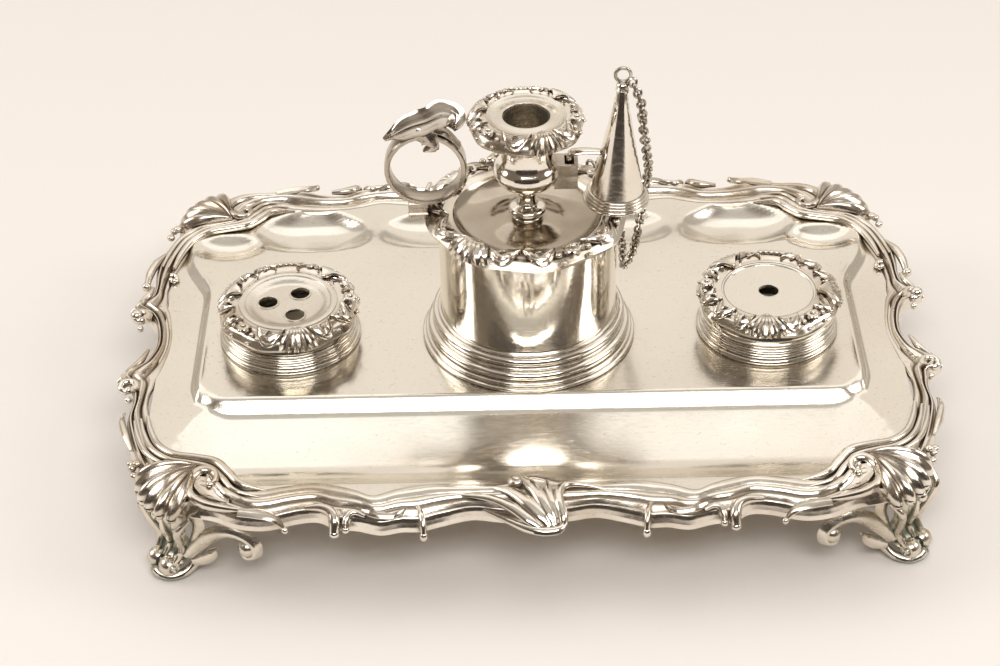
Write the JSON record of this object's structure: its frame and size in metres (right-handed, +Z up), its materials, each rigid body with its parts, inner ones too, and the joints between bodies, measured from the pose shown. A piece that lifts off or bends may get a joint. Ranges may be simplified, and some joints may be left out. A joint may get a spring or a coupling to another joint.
{
  "type": "inkstand",
  "caption": "Footed rectangular tray with pen troughs, two covered ink wells and a round box whose lift-off lid is a small candlestick with ring handle and chained snuffer.",
  "frame": {"origin": "middle of the footprint at the table, under the middle of the round box", "axes": "+X to the right along the tray's length, +Y to the back, +Z up; the long pen trough is at the front"},
  "size_m": [0.2968, 0.21, 0.1451],
  "materials": {
    "silver": "warm polished silver with fine wear",
    "dark_silver": "tarnished silver links",
    "glass": "clear moulded glass"
  },
  "bodies": {
    "tray_body": {"tray": "silver", "border_front": "silver", "border_back": "silver", "border_left": "silver", "border_right": "silver", "front_leaf": "silver", "shell_front_left": "silver", "shell_front_right": "silver", "shell_back_left": "silver", "shell_back_right": "silver", "foot_front_left": "silver", "foot_front_right": "silver", "foot_back_left": "silver", "foot_back_right": "silver", "collar_left": "silver", "collar_right": "silver", "box_moulding": "silver", "box_wall": "silver", "box_floor": "silver"},
    "liner_left": {"liner_left": "glass"},
    "liner_right": {"liner_right": "glass"},
    "cover_left": {"cover_skirt_left": "silver", "cover_dish_left": "silver", "cover_rim_left": "silver"},
    "cover_right": {"cover_skirt_right": "silver", "cover_plate_right": "silver", "cover_rim_right": "silver"},
    "lid": {"lid_flange": "silver", "lid_pan": "silver", "lid_border": "silver", "stem": "silver", "candle_socket": "silver", "hook_sleeve": "silver", "ring_lug": "silver", "finger_ring": "silver", "thumb_leaf": "silver", "chain_eye": "silver", "chain": "dark_silver"},
    "nozzle": {"nozzle_tube": "silver", "nozzle_pan": "silver", "nozzle_border": "silver"},
    "snuffer": {"snuffer_cone": "silver", "snuffer_foot": "silver", "snuffer_hook": "silver", "snuffer_finial": "silver", "snuffer_loop": "silver"}
  },
  "joints": [
    {"name": "liner_left_lift", "type": "slide", "parent": "tray_body", "child": "liner_left", "axis": [0, 0, 1], "range_m": [0, 0.06]},
    {"name": "liner_right_lift", "type": "slide", "parent": "tray_body", "child": "liner_right", "axis": [0, 0, 1], "range_m": [0, 0.06]},
    {"name": "cover_left_lift", "type": "slide", "parent": "liner_left", "child": "cover_left", "axis": [0, 0, 1], "range_m": [0, 0.04]},
    {"name": "cover_right_lift", "type": "slide", "parent": "liner_right", "child": "cover_right", "axis": [0, 0, 1], "range_m": [0, 0.04]},
    {"name": "lid_lift", "type": "slide", "parent": "tray_body", "child": "lid", "axis": [0, 0, 1], "range_m": [0, 0.05]},
    {"name": "nozzle_lift", "type": "slide", "parent": "lid", "child": "nozzle", "axis": [0, 0, 1], "range_m": [0, 0.03]},
    {"name": "snuffer_lift", "type": "slide", "parent": "lid", "child": "snuffer", "axis": [0, 0, 1], "range_m": [0, 0.011], "deforming": ["chain"]}
  ]
}
